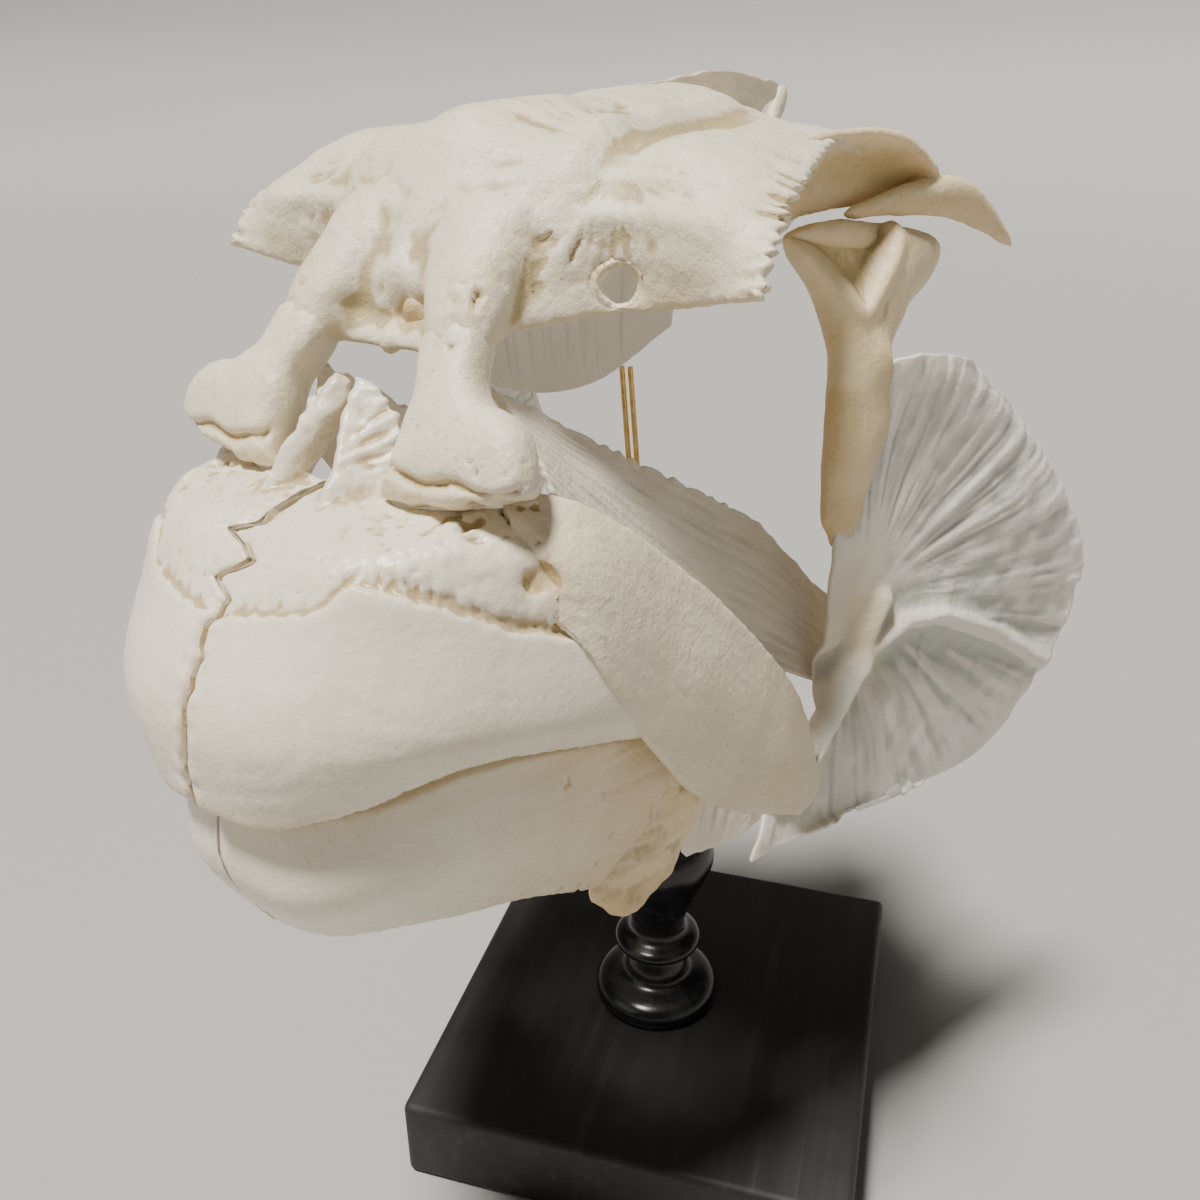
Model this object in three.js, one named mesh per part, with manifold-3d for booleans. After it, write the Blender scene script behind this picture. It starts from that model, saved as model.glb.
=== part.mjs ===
// A pufferfish skull, cleaned and re-assembled for display on a turned black post and a square base.
// Millimetres, +Z up. The origin is the middle of the base's underside.
import * as THREE from "three";
import { mergeVertices } from "three/addons/utils/BufferGeometryUtils.js";
import Module from "manifold-3d";

const wasm = await Module();
wasm.setup();

// Driving dimensions
const BASE_SIDE = 89;
const BASE_HEIGHT = 19;
const BASE_EDGE_ROUND = 1.6;
const POST_SHIFT = [-3, 1];
const POST_HEIGHT = 45;
const POST_FOOT_RADIUS = 13.5;
const POST_WAIST_RADIUS = 5;
const POST_COLLAR_RADIUS = 9.4;
const POST_CUP_RADIUS = 11.5;
const WIRE_RADIUS = 0.5;
const WIRE_SPREAD = 0.75;
const WIRE_END_GAP = 0.9;
const SKULL_HEIGHT = 160;
const SKULL_SHIFT = [-11.3, 0.1];
const SKULL_YAW = -21.2;
const SKULL_ROLL = 2.35;
const BONE_GAP = 0.3;

// Finishes
const boneWhite = new THREE.MeshStandardMaterial({ color: 0xe9e3d2, roughness: 0.55, metalness: 0 });
const boneThin = new THREE.MeshStandardMaterial({ color: 0xe3e2dd, roughness: 0.6, metalness: 0 });
const boneTooth = new THREE.MeshStandardMaterial({ color: 0xece6d4, roughness: 0.4, metalness: 0 });
const boneWarm = new THREE.MeshStandardMaterial({ color: 0xddc9a0, roughness: 0.55, metalness: 0 });
const blackWood = new THREE.MeshStandardMaterial({ color: 0x1b1b1a, roughness: 0.6, metalness: 0 });
const blackGloss = new THREE.MeshStandardMaterial({ color: 0x0d0e10, roughness: 0.25, metalness: 0 });
const brass = new THREE.MeshStandardMaterial({ color: 0xb08a3c, roughness: 0.3, metalness: 1 });

// Solids: a closed geometry becomes a solid that can be joined and cut
function solidOf(geometry) {
  const bare = geometry.clone();
  bare.deleteAttribute("normal");
  bare.deleteAttribute("uv");
  const merged = mergeVertices(bare, 1e-4);
  const triVerts = new Uint32Array(merged.index.array);
  const make = () =>
    new wasm.Manifold(
      new wasm.Mesh({ numProp: 3, vertProperties: merged.attributes.position.array, triVerts }),
    );
  let made = make();
  if (made.volume() < 0) {
    for (let i = 0; i < triVerts.length; i += 3) {
      [triVerts[i + 1], triVerts[i + 2]] = [triVerts[i + 2], triVerts[i + 1]];
    }
    made = make();
  }
  return made;
}

function geometryOf(solid) {
  const { numProp, vertProperties, triVerts } = solid.getMesh();
  const positions = new Float32Array((vertProperties.length / numProp) * 3);
  for (let i = 0; i * numProp < vertProperties.length; i++) {
    positions.set(vertProperties.subarray(i * numProp, i * numProp + 3), i * 3);
  }
  const geometry = new THREE.BufferGeometry();
  geometry.setAttribute("position", new THREE.BufferAttribute(positions, 3));
  geometry.setIndex(new THREE.BufferAttribute(triVerts, 1));
  return geometry.toNonIndexed();
}

// Cuts can leave crumbs: the bone is the largest piece
function largest(solid) {
  return solid.decompose().reduce((a, b) => (b.volume() > a.volume() ? b : a));
}

const join = (...solids) => solids.reduce((a, b) => a.add(b));
const cut = (solid, ...tools) => largest(tools.reduce((a, b) => a.subtract(b), solid));

const spline = (points) => new THREE.CatmullRomCurve3(points.map((p) => new THREE.Vector3(...p)));

// A curved plate. Each row is a line of points across it, from left to right as seen from outside,
// and the rows follow each other down it. The points lie on its outer face, and its thickness goes
// inward, one at the middle and one at the rim.
function plate(rows, { across, down, thick, rim, grow = 0 }) {
  const lines = rows.map(spline);
  const surface = (u, v) => {
    const through = new THREE.CatmullRomCurve3(lines.map((line) => line.getPoint(u)));
    return through.getPoint(v);
  };
  const step = 0.01;
  const within = (t) => Math.min(1 - step, Math.max(step, t));
  const geometry = new THREE.BoxGeometry(1, 1, 1, across, down, 1);
  const place = geometry.attributes.position;
  for (let i = 0; i < place.count; i++) {
    const u = place.getX(i) + 0.5;
    const v = place.getY(i) + 0.5;
    const [a, b] = [within(u), within(v)];
    const alongU = surface(a + step, b).sub(surface(a - step, b)).normalize();
    const alongV = surface(a, b + step).sub(surface(a, b - step)).normalize();
    const outward = alongV.clone().cross(alongU).normalize();
    const edge = Math.min(1, 6 * Math.min(u, 1 - u, v, 1 - v));
    const depth = rim + (thick - rim) * edge;
    const point = surface(u, v);
    point.addScaledVector(outward, place.getZ(i) > 0 ? grow : -depth - grow);
    if (u === 0 || u === 1) point.addScaledVector(alongU, u === 0 ? -grow : grow);
    if (v === 0 || v === 1) point.addScaledVector(alongV, v === 0 ? -grow : grow);
    place.setXYZ(i, point.x, point.y, point.z);
  }
  return solidOf(geometry);
}

// A round or flattened shaft through its stations: a centre, a half width and a half depth at each.
// The width lies along the given direction.
function shaft(stations, { around, along, width, grow = 0 }) {
  const centre = spline(stations.map((s) => s.at));
  const sizes = spline(stations.map((s) => [s.wide, s.deep, 0]));
  const toward = new THREE.Vector3(...width).normalize();
  const geometry = new THREE.SphereGeometry(1, around, along);
  const place = geometry.attributes.position;
  const endShare = 0.12;
  for (let i = 0; i < place.count; i++) {
    const polar = Math.acos(THREE.MathUtils.clamp(place.getY(i), -1, 1));
    const turn = Math.atan2(place.getZ(i), place.getX(i));
    const t = polar / Math.PI;
    const fromEnd = Math.min(t, 1 - t) / endShare;
    const cap = fromEnd >= 1 ? 1 : Math.sqrt(Math.max(0, 1 - (1 - fromEnd) ** 2));
    const tangent = centre.getTangent(t);
    const across = toward.clone().addScaledVector(tangent, -toward.dot(tangent)).normalize();
    const deep = tangent.clone().cross(across);
    const size = sizes.getPoint(t);
    const point = centre.getPoint(t);
    point.addScaledVector(across, Math.cos(turn) * (size.x + grow) * cap);
    point.addScaledVector(deep, Math.sin(turn) * (size.y + grow) * cap);
    if (t === 0 || t === 1) point.addScaledVector(tangent, t === 0 ? -grow : grow);
    place.setXYZ(i, point.x, point.y, point.z);
  }
  return solidOf(geometry);
}

const UP_OF_CYLINDER = new THREE.Vector3(0, 1, 0);

// A straight round drill for a small opening in a bone
function drill(at, along, radius, length) {
  const geometry = new THREE.CylinderGeometry(radius, radius, length, 12);
  const direction = new THREE.Vector3(...along).normalize();
  geometry.applyQuaternion(new THREE.Quaternion().setFromUnitVectors(UP_OF_CYLINDER, direction));
  geometry.translate(...at);
  return solidOf(geometry);
}

function ball(at, radii) {
  const geometry = new THREE.SphereGeometry(1, 10, 8);
  geometry.scale(...radii);
  geometry.translate(...at);
  return solidOf(geometry);
}

// The right half of space, for bones that end at the midline
function rightHalf() {
  const size = 400;
  const geometry = new THREE.BoxGeometry(size, size, size);
  geometry.translate(-size / 2 + BONE_GAP / 2, 0, 0);
  return solidOf(geometry);
}

const mirrored = (points) => points.map(([x, y, z]) => [-x, y, z]);
const bothSides = (half) => [...half.slice(1).reverse(), ...mirrored(half)];

// Bones of the left side and the midline. In the skull's own frame +X is its left, +Y its back and
// +Z up, from the point where the wires hold it.

// Upper jaw: the premaxilla carries the upper half of the beak and an ascending blade
const premaxillaRows = [
  [[0, -66, 0], [7, -67, 0], [14, -66, -1], [21, -63, -1], [27, -58, -1]],
  [[0, -79, -3], [9, -80, -3], [18, -79, -4], [25, -72, -3], [32, -62, -5]],
  [[0, -88, -12], [10, -87, -12], [20, -83, -12], [28, -74, -12], [36, -61, -17]],
  [[0, -94, -23], [10, -93, -23], [20, -88, -24], [29, -79, -24], [38, -60, -27]],
  [[0, -94, -35], [10, -92, -36], [19, -86, -34], [28, -76, -30], [38, -54, -33]],
];
const premaxillaBody = (grow) =>
  plate(premaxillaRows, { across: 9, down: 8, thick: 9, rim: 5, grow });
const ascendingRows = [
  [[6.5, -76, -4], [5, -67, 5], [2.6, -60, 11.5]],
  [[8.5, -73, -5], [7.5, -65, 2], [5, -59, 9]],
  [[10, -70, -6], [9, -63, -2], [8, -59, 4]],
];
const ascendingBlade = (grow) =>
  plate(ascendingRows, { across: 5, down: 3, thick: 2.6, rim: 1.6, grow });

// Upper jaw: the maxilla, a broad blade that sweeps out and back to the corner of the mouth
const maxillaRows = [
  [[25, -60, 1], [32, -55, 0], [40, -39, -15], [43.5, -28, -28], [45.5, -18.5, -41], [47, -12, -59]],
  [[30, -65, -4], [37, -58, -8], [42, -46, -24], [45, -35, -40], [46.5, -25, -51], [47.5, -15, -61.5]],
  [[31, -67.5, -10], [38, -61, -18], [41, -52, -34], [42, -41, -49], [44, -30, -57], [47, -19, -63]],
];
const maxillaBody = (grow) => plate(maxillaRows, { across: 10, down: 4, thick: 5, rim: 3, grow });

// Lower jaw: the dentary carries the lower half of the beak
const dentaryRows = [
  [[0, -91, -36], [10, -88, -37], [19, -81, -36], [27, -71, -33], [33, -56, -35], [34, -42, -40]],
  [[0, -92, -47], [10, -90, -49], [19, -83, -48], [27, -70, -46], [31, -55, -47], [33, -40, -51]],
  [[0, -86, -60], [9, -84, -60], [17, -75, -60], [24, -61, -62], [28, -49, -66], [31, -38, -64]],
];
const dentaryBody = (grow) => plate(dentaryRows, { across: 10, down: 5, thick: 7, rim: 4, grow });

// Lower jaw: the articular, with the angular's knob below the joint
const articularStations = [
  { at: [31, -37, -38], wide: 4, deep: 3 },
  { at: [32, -34, -48], wide: 6, deep: 4 },
  { at: [31, -36, -58], wide: 7, deep: 4 },
  { at: [29, -42, -68], wide: 5, deep: 3.5 },
  { at: [28, -44, -75], wide: 3.5, deep: 3 },
];
const articularBody = (grow) =>
  shaft(articularStations, { around: 10, along: 8, width: [0.3, 1, 0], grow });

// Suspensorium: the quadrate carries the jaw joint
const quadrateRows = [
  [[30, -30, -40], [33, -18, -43], [37, -8, -44]],
  [[30, -30, -56], [34, -17, -57], [38, -6, -57]],
  [[30, -27, -73], [34, -18, -73], [39, -7, -68]],
];
const quadrateBody = (grow) => plate(quadrateRows, { across: 5, down: 5, thick: 4, rim: 1.6, grow });

// Suspensorium: the hyomandibula hangs from the braincase and narrows to a shaft
const hyomandibulaStations = [
  { at: [38, 10, 25], wide: 18, deep: 4 },
  { at: [38.5, 9, 20], wide: 16, deep: 5 },
  { at: [39.5, 7, 13], wide: 9, deep: 5 },
  { at: [41, 4, 5], wide: 5, deep: 4 },
  { at: [42, 2, -6], wide: 5.5, deep: 3.5 },
  { at: [42, 0, -16], wide: 5, deep: 2.5 },
  { at: [42, -2, -23], wide: 3, deep: 2 },
];
const hyomandibulaBody = (grow) =>
  shaft(hyomandibulaStations, { around: 12, along: 12, width: [0.3, 0.95, -0.1], grow });

// Suspensorium: the preopercle spreads back from its stem as a fan
const preopercleRows = [
  [[39, -21, -74], [41, -15, -62], [43, -6, -44], [44.5, 1, -24], [44.5, 3, -10], [45, 3, 2]],
  [[42, -14, -73], [46, -3, -64], [50, 10, -48], [51, 17, -26], [49, 14, -8], [47, 6, 6]],
  [[46, -8, -71], [51, 10, -69], [56, 27, -53], [60, 36, -30], [56, 30, -9], [50, 16, 5]],
  [[49, 2, -71], [58, 32, -73], [64, 47, -58], [66, 55, -40], [60, 43, -18], [52, 23, 3]],
];
const preopercleBody = (grow) =>
  plate(preopercleRows, { across: 10, down: 6, thick: 2.4, rim: 1.1, grow });

// Suspensorium: the pterygoid plates form the floor of the orbit
const pterygoidRows = [
  [[17, -52, 11], [20, -35, 0], [25, -17, -12], [28, -3, -22], [34, 5, -38]],
  [[21, -50, 5], [25, -36, -9], [29, -22, -21], [32, -9, -31], [36, 0, -42]],
  [[25, -50, -2], [29, -37, -19], [31, -27, -31], [34, -14, -40], [38, -5, -44]],
];
const pterygoidBody = (grow) =>
  plate(pterygoidRows, { across: 8, down: 4, thick: 1.8, rim: 1, grow });

// Palatine: a pillar from the snout's root to a long foot on the upper jaw
const palatineStations = [
  { at: [10, -42, 30.5], wide: 6.4, deep: 4.4 },
  { at: [13, -52, 19.5], wide: 5.9, deep: 4.4 },
  { at: [15.7, -57.6, 12.2], wide: 4.6, deep: 3.8 },
  { at: [17.8, -60.6, 8], wide: 7, deep: 4.2 },
  { at: [20.6, -63, 4], wide: 11.2, deep: 4.4 },
  { at: [21.6, -64.2, 0], wide: 11.4, deep: 4.2 },
];
const palatineBody = (grow) =>
  shaft(palatineStations, { around: 14, along: 12, width: [1, 0.05, 0.1], grow });

// Cranium: the roof of the frontal bones, with their wings over the orbits
const roofHalfRows = [
  [[0, -54, 15], [10, -53.5, 16], [18, -48, 16.8], [27, -38.5, 18.5], [39, -38.5, 20.5], [49, -41, 23.5]],
  [[0, -48, 28.5], [9, -46.5, 29.5], [18, -43.5, 28], [27, -38, 27], [39, -38.5, 28.5], [49, -37, 28.5]],
  [[0, -37, 40], [12, -35, 38], [24, -31, 38], [36, -30, 37], [47, -29, 32]],
  [[0, -10, 42], [12, -8, 40], [24, -6, 39], [34, -4, 39], [40, -4, 37.5]],
  [[0, 12, 43], [10, 14, 41], [20, 14, 39], [30, 14, 37], [38, 12, 34]],
  [[0, 34, 40], [8, 31, 39], [16, 29, 36], [24, 26, 32], [31, 23, 28]],
];
const roof = (grow) =>
  plate(roofHalfRows.map(bothSides), { across: 16, down: 10, thick: 5, rim: 1.8, grow });

// Cranium: the braincase under the roof, to the condyle of the neck
const braincaseStations = [
  { at: [0, -14, 33], wide: 6, deep: 5 },
  { at: [0, 2, 30], wide: 13, deep: 9 },
  { at: [0, 18, 28], wide: 18, deep: 11 },
  { at: [0, 32, 26], wide: 16, deep: 11 },
  { at: [0, 44, 24], wide: 8, deep: 8 },
  { at: [0, 49, 23], wide: 6, deep: 6 },
];
const braincase = (grow) =>
  shaft(braincaseStations, { around: 14, along: 10, width: [1, 0, 0], grow });

// Cranium: the ethmoid, the keel between the two palatines
const ethmoidStations = [
  { at: [0, -36, 30], wide: 9, deep: 6 },
  { at: [0, -44, 25], wide: 9, deep: 5 },
  { at: [0, -49.5, 20], wide: 8, deep: 4 },
];
const ethmoid = (grow) => shaft(ethmoidStations, { around: 10, along: 6, width: [1, 0, 0], grow });

// Cranium: a thin spur on the right of the nape
const spurStations = [
  { at: [-4, 42, 27], wide: 2.4, deep: 2 },
  { at: [-5, 54, 33], wide: 1.4, deep: 1.3 },
  { at: [-5.7, 60.5, 39], wide: 2.1, deep: 1.5 },
  { at: [-6, 63.5, 42.5], wide: 1.2, deep: 1 },
];
const spur = (grow) => shaft(spurStations, { around: 6, along: 6, width: [0, 1, 0], grow });
const craniumBody = (grow) => join(roof(grow), braincase(grow), ethmoid(grow), spur(grow));

// Sphenotic: a cupped wall behind the orbit that ends in a spike
const sphenoticRows = [
  [[41, -3, 36.5], [44, 8, 36.5], [46, 18, 31]],
  [[38.5, -3, 32.5], [41, 8, 32], [45, 20, 29]],
  [[34, -5, 27], [39, 9, 30], [43, 22, 27]],
];
const sphenoticWall = (grow) =>
  plate(sphenoticRows, { across: 5, down: 4, thick: 3, rim: 1.6, grow });
const spikeStations = [
  { at: [42, 12, 28], wide: 3, deep: 2 },
  { at: [45, 20, 26.5], wide: 4, deep: 2.2 },
  { at: [48.5, 30, 23], wide: 2.8, deep: 1.8 },
  { at: [51, 39, 18], wide: 0.9, deep: 0.8 },
];
const spike = (grow) => shaft(spikeStations, { around: 8, along: 8, width: [0.4, 0, 1], grow });

// Supraoccipital: the crest at the back of the roof
const crestRows = [
  [[1.2, 2, 44], [1.2, 20, 45.6], [1.2, 36, 45], [1.2, 46.5, 42.8]],
  [[1.2, 4, 38], [1.2, 16, 38], [1.2, 28, 36.5], [1.2, 36.5, 34]],
];
const crestBody = (grow) => plate(crestRows, { across: 8, down: 2, thick: 2.6, rim: 1.4, grow });

// Parasphenoid: the thin keel under the skull, between the orbits
const keelRows = [
  [[0.8, -46, 24], [0.8, -28, 30], [0.8, -8, 30], [0.8, 16, 20]],
  [[0.8, -46, 16], [0.8, -30, 14], [0.8, -10, 12], [0.8, 15, 13]],
  [[0.8, -43, 11], [0.8, -29, 3], [0.8, -10, 0], [0.8, 13, 5]],
];
const keelBody = (grow) => plate(keelRows, { across: 8, down: 4, thick: 1.6, rim: 0.9, grow });

// Openings through the bones: one in each frontal wing and each maxilla, and the nose's two hollows
const FRONTAL_HOLE_RADIUS = 2.6;
const MAXILLA_HOLE_RADIUS = 2;
const frontalHole = drill([27, -38, 22.3], [0.25, -1, 0.15], FRONTAL_HOLE_RADIUS, 24);
const frontalHoleRight = drill([-27, -38, 22.3], [-0.25, -1, 0.15], FRONTAL_HOLE_RADIUS, 24);
const maxillaHole = drill([33, -63, -8], [0.6, -0.7, 0.2], MAXILLA_HOLE_RADIUS, 8);
const nasalHollow = ball([4, -55, 19.5], [4.5, 5, 3]);
const nasalHollowRight = ball([-4, -55, 19.5], [4.5, 5, 3]);

// Each bone gives way, by the gap, to those fitted before it
const rooms = [];
function fitted(body, ...openings) {
  const bone = cut(body(0), ...rooms, ...openings);
  rooms.push(body(BONE_GAP));
  return bone;
}

const palatine = fitted(palatineBody);
rooms.push(solidOf(geometryOf(palatineBody(BONE_GAP)).scale(-1, 1, 1)));
const cranium = fitted(
  craniumBody,
  frontalHole,
  frontalHoleRight,
  nasalHollow,
  nasalHollowRight,
);
const supraoccipital = fitted(crestBody);
const parasphenoid = fitted(keelBody);
const sphenotic = fitted((grow) => join(sphenoticWall(grow), spike(grow)));
const hyomandibula = fitted(hyomandibulaBody);
const maxilla = fitted(maxillaBody, maxillaHole);
const premaxilla = fitted((grow) => join(premaxillaBody(grow), ascendingBlade(grow)), rightHalf());
const dentary = fitted(dentaryBody, rightHalf());
const articular = fitted(articularBody);
const quadrate = fitted(quadrateBody);
const preopercle = fitted(preopercleBody);
const pterygoid = fitted(pterygoidBody);

function mesh(name, geometry, material) {
  const made = new THREE.Mesh(geometry, material);
  made.name = name;
  return made;
}

const skull = new THREE.Group();
skull.position.set(...SKULL_SHIFT, SKULL_HEIGHT);
skull.rotation.set(0, -THREE.MathUtils.degToRad(SKULL_ROLL), THREE.MathUtils.degToRad(SKULL_YAW), "ZYX");
skull.add(mesh("cranium", geometryOf(cranium), boneWhite));
skull.add(mesh("supraoccipital", geometryOf(supraoccipital), boneWhite));
skull.add(mesh("parasphenoid", geometryOf(parasphenoid), boneThin));

const pairs = {
  premaxilla: [premaxilla, boneTooth],
  maxilla: [maxilla, boneWhite],
  dentary: [dentary, boneTooth],
  articular: [articular, boneWarm],
  quadrate: [quadrate, boneThin],
  hyomandibula: [hyomandibula, boneWarm],
  preopercle: [preopercle, boneThin],
  pterygoid: [pterygoid, boneThin],
  palatine: [palatine, boneWhite],
  sphenotic: [sphenotic, boneWarm],
};
const rightSide = new THREE.Group();
rightSide.scale.set(-1, 1, 1);
for (const [name, [solid, material]] of Object.entries(pairs)) {
  skull.add(mesh(`${name}_left`, geometryOf(solid), material));
  rightSide.add(mesh(`${name}_right`, geometryOf(solid), material));
}
skull.add(rightSide);

// Mount: the base, a block of board with eased edges
function baseGeometry() {
  const half = BASE_SIDE / 2 - BASE_EDGE_ROUND;
  const outline = new THREE.Shape();
  outline.moveTo(-half, -half);
  outline.lineTo(half, -half);
  outline.lineTo(half, half);
  outline.lineTo(-half, half);
  const geometry = new THREE.ExtrudeGeometry(outline, {
    depth: BASE_HEIGHT - 2 * BASE_EDGE_ROUND,
    bevelEnabled: true,
    bevelSize: BASE_EDGE_ROUND,
    bevelThickness: BASE_EDGE_ROUND,
    bevelSegments: 2,
  });
  geometry.translate(0, 0, BASE_EDGE_ROUND);
  return geometry;
}

// Mount: the turned post. A thick round foot, a waist with a bead, a collar and a cup under the skull
function postGeometry() {
  const profile = [
    [POST_FOOT_RADIUS - 0.7, 0],
    [POST_FOOT_RADIUS, 2.2],
    [POST_FOOT_RADIUS - 0.8, 4.4],
    [POST_FOOT_RADIUS - 3.4, 5.8],
    [POST_WAIST_RADIUS + 1.4, 6.8],
    [POST_WAIST_RADIUS + 0.8, 9.6],
    [POST_WAIST_RADIUS, 12.2],
    [POST_COLLAR_RADIUS - 0.6, 14.4],
    [POST_COLLAR_RADIUS, 15.6],
    [POST_COLLAR_RADIUS - 0.7, 16.8],
    [POST_WAIST_RADIUS + 0.8, 18],
    [POST_WAIST_RADIUS + 0.7, 21],
    [POST_WAIST_RADIUS + 2.2, 27],
    [POST_CUP_RADIUS - 1.6, 32.5],
    [POST_CUP_RADIUS, 38],
    [POST_CUP_RADIUS - 0.8, 42],
    [POST_CUP_RADIUS - 4.5, POST_HEIGHT - 0.6],
  ];
  const points = profile.map(([radius, height]) => new THREE.Vector2(radius, height));
  const closed = [new THREE.Vector2(0, 0), ...points, new THREE.Vector2(0, POST_HEIGHT)];
  const geometry = new THREE.LatheGeometry(closed, 24);
  geometry.rotateX(Math.PI / 2);
  geometry.translate(...POST_SHIFT, BASE_HEIGHT);
  return geometry;
}

// Mount: one of the two brass wires, from the post to the keel of the skull
function wireGeometry(side) {
  const sideways = side * WIRE_SPREAD;
  const postTop = BASE_HEIGHT + POST_HEIGHT;
  const foot = new THREE.Vector3(POST_SHIFT[0] + sideways, POST_SHIFT[1], postTop);
  const tip = new THREE.Vector3(SKULL_SHIFT[0] + sideways, SKULL_SHIFT[1], SKULL_HEIGHT);
  const along = tip.clone().sub(foot);
  const length = along.length() - WIRE_END_GAP;
  const geometry = new THREE.CylinderGeometry(WIRE_RADIUS, WIRE_RADIUS, length, 10);
  geometry.applyQuaternion(new THREE.Quaternion().setFromUnitVectors(UP_OF_CYLINDER, along.normalize()));
  const middle = foot.addScaledVector(along, length / 2);
  geometry.translate(middle.x, middle.y, middle.z);
  return geometry;
}

const part = new THREE.Group();
part.add(skull);
part.add(mesh("mount_base", geometryOf(solidOf(baseGeometry())), blackWood));
part.add(mesh("mount_post", geometryOf(solidOf(postGeometry())), blackGloss));
part.add(mesh("mount_wire_left", geometryOf(solidOf(wireGeometry(1))), brass));
part.add(mesh("mount_wire_right", geometryOf(solidOf(wireGeometry(-1))), brass));

export default part;
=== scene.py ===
import math

import bmesh
import bpy
import numpy as np
from mathutils import Matrix, Vector


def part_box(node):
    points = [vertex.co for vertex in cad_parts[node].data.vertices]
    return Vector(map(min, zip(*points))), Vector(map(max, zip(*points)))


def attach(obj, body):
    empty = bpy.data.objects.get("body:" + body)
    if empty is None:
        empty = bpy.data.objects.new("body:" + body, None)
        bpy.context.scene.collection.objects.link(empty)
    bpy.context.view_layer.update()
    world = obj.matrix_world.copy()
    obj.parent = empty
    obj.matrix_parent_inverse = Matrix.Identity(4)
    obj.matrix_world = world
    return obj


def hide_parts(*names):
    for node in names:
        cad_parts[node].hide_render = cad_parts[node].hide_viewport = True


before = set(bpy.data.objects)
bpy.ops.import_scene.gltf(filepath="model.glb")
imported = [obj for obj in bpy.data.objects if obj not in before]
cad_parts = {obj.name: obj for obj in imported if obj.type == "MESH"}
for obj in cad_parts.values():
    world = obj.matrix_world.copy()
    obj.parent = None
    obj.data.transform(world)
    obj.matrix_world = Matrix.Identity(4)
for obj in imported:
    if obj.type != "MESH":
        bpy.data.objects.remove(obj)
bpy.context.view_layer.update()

# The room: a plain pale floor, soft sun from above and a little from the left, and two weak lamps.
# The camera stands where the photo was taken, a little above the skull and to its left front.
floor_colour = (0.36, 0.35, 0.335, 1)
floor_profile = [(0, 0), (1.7, 0), (1.95, 0.05), (2.13, 0.2), (2.2, 0.45), (2.2, 1.1)]
camera_place = Vector((0.0382, -0.1894, 0.2138))
camera_turn, camera_drop = math.radians(15.92), math.radians(26.64)


def new_object(name, mesh):
    thing = bpy.data.objects.new(name, mesh)
    bpy.context.scene.collection.objects.link(thing)
    return thing


def mesh_from(bm, name):
    mesh = bpy.data.meshes.new(name)
    bm.to_mesh(mesh)
    bm.free()
    return mesh


bm = bmesh.new()
sweep = [bm.verts.new((r, 0, z)) for r, z in floor_profile]
edges = [bm.edges.new(pair) for pair in zip(sweep, sweep[1:])]
bmesh.ops.spin(bm, geom=sweep + edges, cent=(0, 0, 0), axis=(0, 0, 1), angle=2 * math.pi, steps=64)
bmesh.ops.remove_doubles(bm, verts=bm.verts, dist=1e-5)
bmesh.ops.recalc_face_normals(bm, faces=bm.faces)
bmesh.ops.reverse_faces(bm, faces=bm.faces)
floor = new_object("floor", mesh_from(bm, "floor"))
floor.data.shade_smooth()
floor_paint = bpy.data.materials.new("floor_paint")
floor_paint.use_nodes = True
floor_shader = floor_paint.node_tree.nodes["Principled BSDF"]
floor_shader.inputs["Base Color"].default_value = floor_colour
floor_shader.inputs["Roughness"].default_value = 0.7
floor.data.materials.append(floor_paint)

camera = bpy.data.objects.new("camera", bpy.data.cameras.new("camera"))
camera.location = camera_place
camera.rotation_euler = (math.pi / 2 - camera_drop, 0, camera_turn)
camera.data.lens = 34.8
camera.data.sensor_width = 36
camera.data.clip_start = 0.01
bpy.context.scene.collection.objects.link(camera)
bpy.context.scene.camera = camera


def area_light(name, place, size, power, colour):
    lamp = bpy.data.lights.new(name, "AREA")
    lamp.size = size
    lamp.energy = power
    lamp.color = colour
    holder = bpy.data.objects.new(name, lamp)
    holder.location = place
    holder.rotation_euler = (Vector((0, -0.02, 0.13)) - Vector(place)).to_track_quat("-Z", "Y").to_euler()
    bpy.context.scene.collection.objects.link(holder)


area_light("fill", (0.70, -0.55, 0.40), 0.7, 0.22, (0.97, 0.98, 1.0))
area_light("left", (-0.60, -0.60, 0.55), 0.6, 0.9, (1.0, 0.97, 0.93))
sun = bpy.data.lights.new("sun", "SUN")
sun.energy = 7.0
sun.angle = math.radians(11)
sun.color = (1.0, 0.97, 0.92)
sun_holder = bpy.data.objects.new("sun", sun)
sun_holder.rotation_euler = (-Vector((-0.20, -0.24, 0.95))).to_track_quat("-Z", "Y").to_euler()
bpy.context.scene.collection.objects.link(sun_holder)
world = bpy.data.worlds.new("room")
world.use_nodes = True
world.node_tree.nodes["Background"].inputs["Color"].default_value = (0.80, 0.82, 0.85, 1)
world.node_tree.nodes["Background"].inputs["Strength"].default_value = 0.06
bpy.context.scene.world = world

# The base: a square block of board, stained black and rubbed, with eased edges.
# Its grain runs front to back, and the black is worn thin along the edges.
base_low, base_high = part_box("mount_base")
base_ease = 0.0016


def node_maker(material):
    material.use_nodes = True
    tree = material.node_tree

    def add(kind, **inputs):
        node = tree.nodes.new(kind)
        for key, value in inputs.items():
            socket = node.inputs[key.replace("_", " ") if key.replace("_", " ") in node.inputs else key]
            if isinstance(value, bpy.types.NodeSocket):
                tree.links.new(value, socket)
            else:
                socket.default_value = value
        return node

    return tree, tree.nodes["Principled BSDF"], add


def ramp(add, factor, stops):
    node = add("ShaderNodeValToRGB", Fac=factor)
    while len(node.color_ramp.elements) < len(stops):
        node.color_ramp.elements.new(0.5)
    for element, (place, value) in zip(node.color_ramp.elements, stops):
        element.position = place
        element.color = value if isinstance(value, tuple) else (value, value, value, 1)
    return node.outputs["Color"]


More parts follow.
